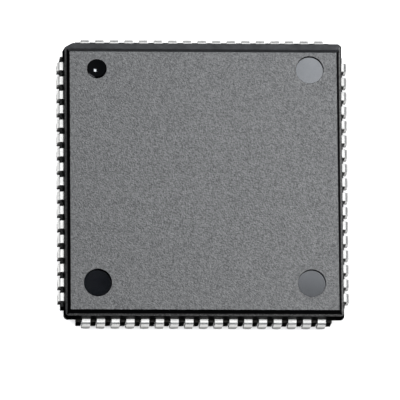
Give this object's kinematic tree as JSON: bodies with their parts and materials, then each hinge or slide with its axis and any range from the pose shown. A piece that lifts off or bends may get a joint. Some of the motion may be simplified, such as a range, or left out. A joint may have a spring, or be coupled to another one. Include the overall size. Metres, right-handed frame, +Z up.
{
  "type": "plcc chip",
  "caption": "Square leaded chip carrier: a black moulded body with a bevelled index corner and a dimple, and J-shaped leads curled under all four sides for soldering or a socket.",
  "frame": {"origin": "on the seating plane under the leads, below the middle of the body", "axes": "+Z up out of the marked top face, +Y towards the side of the index dimple with the wide bevel, +X to the right of the marked face"},
  "size_m": [0.0252, 0.0252, 0.0044],
  "materials": {
    "moulding_compound": "sandblasted top, polished walls",
    "tinned_lead": "bright tin plate",
    "bare_lead_frame": "bare copper alloy",
    "attach_film": "silver filled epoxy",
    "silicon": "polished silicon",
    "bond_wire": "drawn gold wire"
  },
  "bodies": {
    "root": {"moulded_body": "moulding_compound", "leads_front": "tinned_lead", "leads_right": "tinned_lead", "leads_rear": "tinned_lead", "leads_left": "tinned_lead", "die_paddle": "bare_lead_frame", "die_attach": "attach_film", "silicon_die": "silicon", "bond_wires_front": "bond_wire", "bond_wires_right": "bond_wire", "bond_wires_rear": "bond_wire", "bond_wires_left": "bond_wire"}
  },
  "joints": []
}
